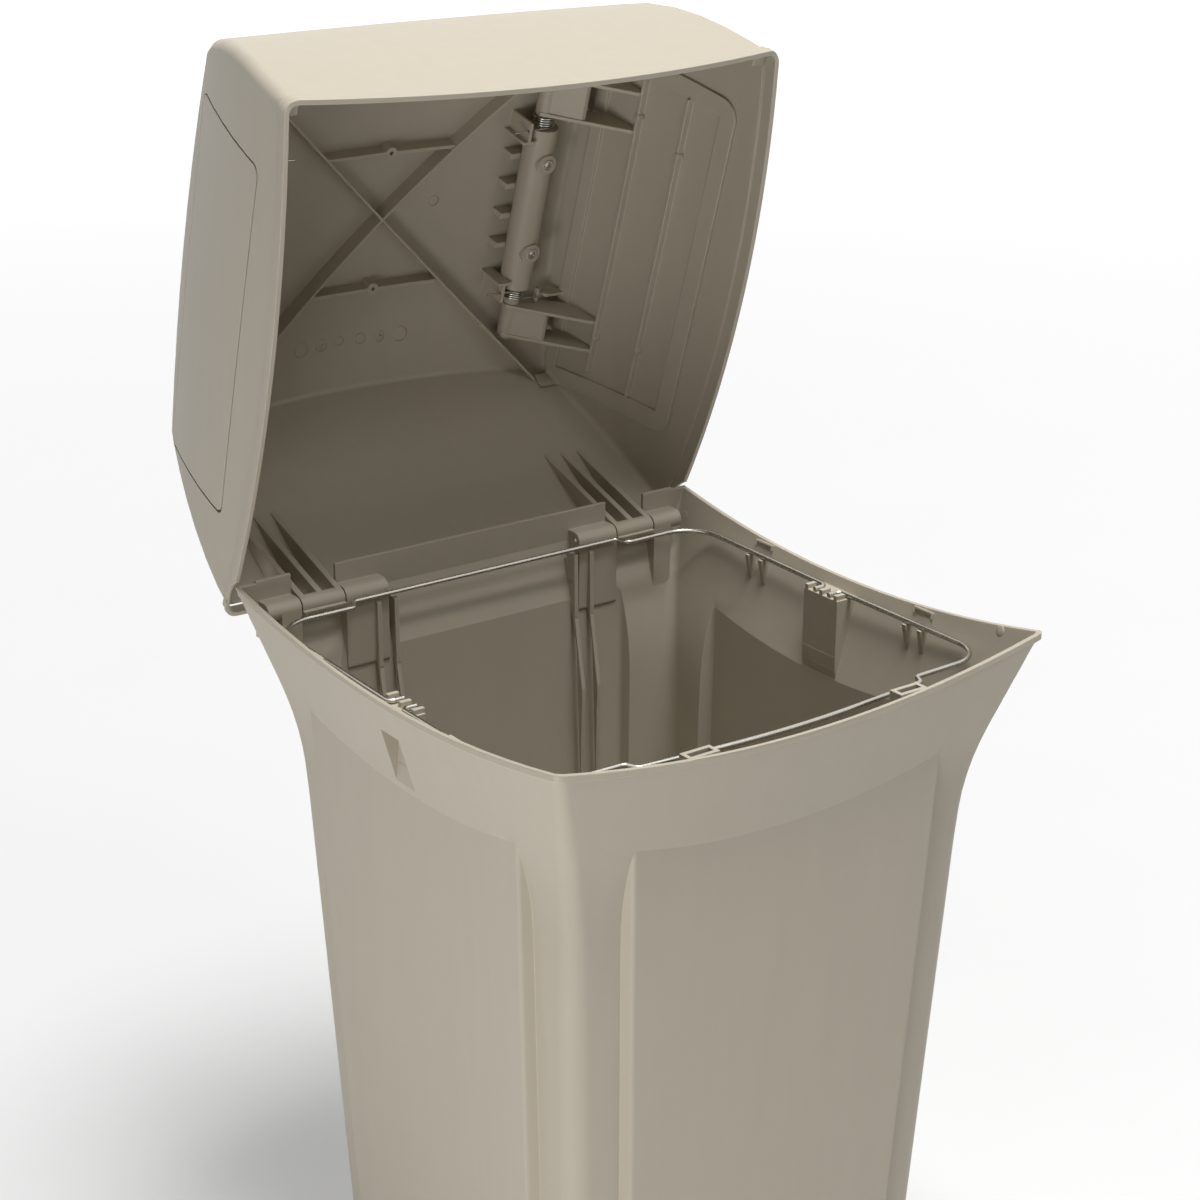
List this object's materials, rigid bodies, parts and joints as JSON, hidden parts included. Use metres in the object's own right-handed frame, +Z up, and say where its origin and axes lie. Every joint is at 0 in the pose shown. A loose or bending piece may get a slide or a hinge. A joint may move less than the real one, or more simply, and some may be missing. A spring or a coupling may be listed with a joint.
{
  "type": "swing hood waste container",
  "caption": "Square flared waste container with a hinged dome hood standing open, spring-loaded swing doors in its sides and swing-up wire bag frames.",
  "frame": {"origin": "middle of the container's base, on the floor", "axes": "+Z up, front towards -Y, the hood's hinge line runs along X at the back"},
  "size_m": [0.549, 0.7596, 1.2993],
  "materials": {
    "beige_plastic": "fine moulded grain, satin",
    "wire_steel": "zinc-plated drawn wire",
    "pin_steel": "turned",
    "screw_steel": "zinc plated",
    "spring_steel": "bright spring wire"
  },
  "bodies": {
    "container": {"container_body": "beige_plastic", "left_hinge_pin": "pin_steel", "right_hinge_pin": "pin_steel"},
    "hood": {"hood_shell": "beige_plastic", "left_pivot_spindle": "beige_plastic", "left_spindle_screws": "screw_steel", "left_front_door_spring": "spring_steel", "left_back_door_spring": "spring_steel", "right_pivot_spindle": "beige_plastic", "right_spindle_screws": "screw_steel", "right_front_door_spring": "spring_steel", "right_back_door_spring": "spring_steel"},
    "left_door": {"left_door_panel": "beige_plastic"},
    "right_door": {"right_door_panel": "beige_plastic"},
    "front_wire": {"front_bag_wire": "wire_steel"},
    "rear_wire": {"rear_bag_wire": "wire_steel"}
  },
  "joints": [
    {"name": "hood_hinge", "type": "hinge", "parent": "container", "child": "hood", "pos_m": [0, 0.249, 0.76], "axis": [-1, 0, 0], "range_deg": [-73, 0]},
    {"name": "left_door_swing", "type": "hinge", "parent": "hood", "child": "left_door", "pos_m": [-0.171, 0.41336, 1.07063], "axis": [0, -0.2924, 0.9563], "range_deg": [0, 60], "stiffness_Nm_per_rad": 0.9, "springref_deg": -28.65, "deforming": ["left_front_door_spring", "left_back_door_spring"]},
    {"name": "right_door_swing", "type": "hinge", "parent": "hood", "child": "right_door", "pos_m": [0.171, 0.41336, 1.07063], "axis": [0, 0.2924, -0.9563], "range_deg": [0, 60], "stiffness_Nm_per_rad": 0.9, "springref_deg": -28.65, "deforming": ["right_front_door_spring", "right_back_door_spring"]},
    {"name": "front_wire_lift", "type": "hinge", "parent": "container", "child": "front_wire", "pos_m": [0, -0.0105, 0.752], "axis": [-1, 0, 0], "range_deg": [0, 84]},
    {"name": "rear_wire_lift", "type": "hinge", "parent": "container", "child": "rear_wire", "pos_m": [0, 0.0105, 0.752], "axis": [1, 0, 0], "range_deg": [0, 84]}
  ]
}
